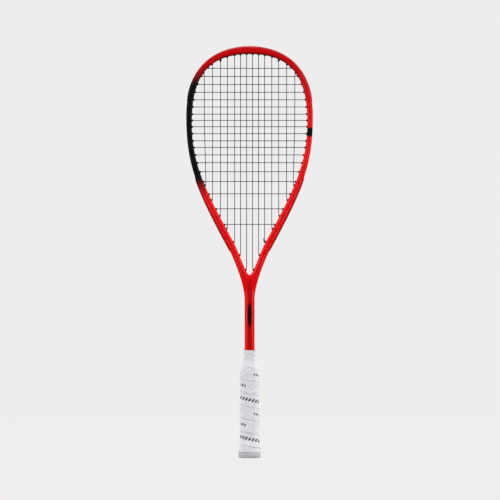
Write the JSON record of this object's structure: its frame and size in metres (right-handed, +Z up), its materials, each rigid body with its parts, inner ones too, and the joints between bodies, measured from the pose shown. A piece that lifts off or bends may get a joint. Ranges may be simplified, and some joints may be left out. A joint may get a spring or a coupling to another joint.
{
  "type": "squash racket",
  "caption": "Squash racket with a teardrop carbon hoop, woven strings, bumper guard, straight shaft and wrapped octagonal handle.",
  "frame": {"origin": "centre of the butt end's flat face", "axes": "+Z up the handle to the head, X across the string face, -Y out of the front of the string face"},
  "size_m": [0.2112, 0.0326, 0.686],
  "materials": {
    "frame_lacquer": "clear-lacquered red paint with black fades over moulded carbon fibre",
    "bumper_nylon": "satin moulded nylon",
    "grommet_nylon": "satin moulded nylon",
    "string_multifilament": "coated multifilament string",
    "cap_rubber": "matt moulded rubber",
    "pallet_foam": "rigid polyurethane foam",
    "staple_steel": "drawn steel wire",
    "plug_foam": "closed-cell foam",
    "grip_leatherette": "perforated synthetic leather with a soft, dry touch"
  },
  "bodies": {
    "root": {"frame": "frame_lacquer", "bumper_guard": "bumper_nylon", "head_grommet_strip": "grommet_nylon", "grommet_strip_left": "grommet_nylon", "grommet_strip_right": "grommet_nylon", "throat_grommet_left_lower": "grommet_nylon", "throat_grommet_left_upper": "grommet_nylon", "throat_grommet_right_lower": "grommet_nylon", "throat_grommet_right_upper": "grommet_nylon", "main_string": "string_multifilament", "cross_string": "string_multifilament", "butt_cap": "cap_rubber", "pallet_half_front": "pallet_foam", "pallet_half_back": "pallet_foam", "pallet_staple_left": "staple_steel", "pallet_staple_right": "staple_steel", "shaft_end_plug": "plug_foam", "grip_wrap": "grip_leatherette"}
  },
  "joints": []
}
